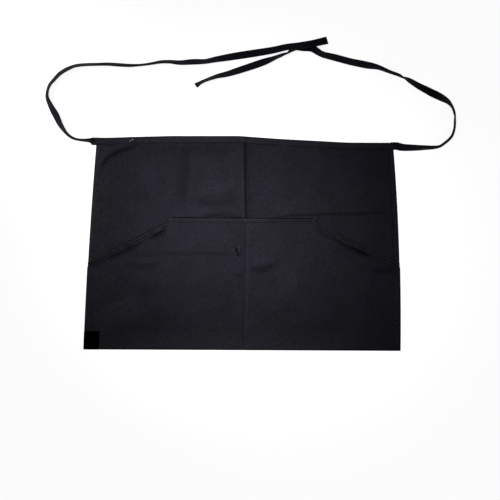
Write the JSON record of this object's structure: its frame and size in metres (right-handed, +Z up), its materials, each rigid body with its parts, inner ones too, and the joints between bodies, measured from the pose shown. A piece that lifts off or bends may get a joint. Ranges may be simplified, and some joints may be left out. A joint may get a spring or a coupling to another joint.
{
  "type": "waist apron",
  "caption": "Half-length waist apron laid flat, with a wide front pocket open along its straight top and slanted sides, a folded waistband and long loose flat ties.",
  "frame": {"origin": "on the surface that the apron lies on, under the middle of the cloth without the ties", "axes": "+Z up out of the apron's front, +X along the bottom edge to the right of the picture, +Y from the bottom edge to the waistband"},
  "size_m": [0.9236, 0.7071, 0.0232],
  "materials": {
    "twill": "matt dark charcoal cotton-blend twill with a slight blue tone",
    "tie_tape": "black folded twill tape, a little shinier than the cloth",
    "label_weave": "plain black woven label, bare"
  },
  "bodies": {
    "root": {"body_panel": "twill", "left_side_hem": "twill", "right_side_hem": "twill", "bottom_hem": "twill", "waistband": "twill", "left_tie": "tie_tape", "right_tie": "tie_tape", "pocket_panel": "twill", "pocket_top_hem": "twill", "pocket_left_mouth_hem": "twill", "pocket_right_mouth_hem": "twill", "corner_label": "label_weave"}
  },
  "joints": []
}
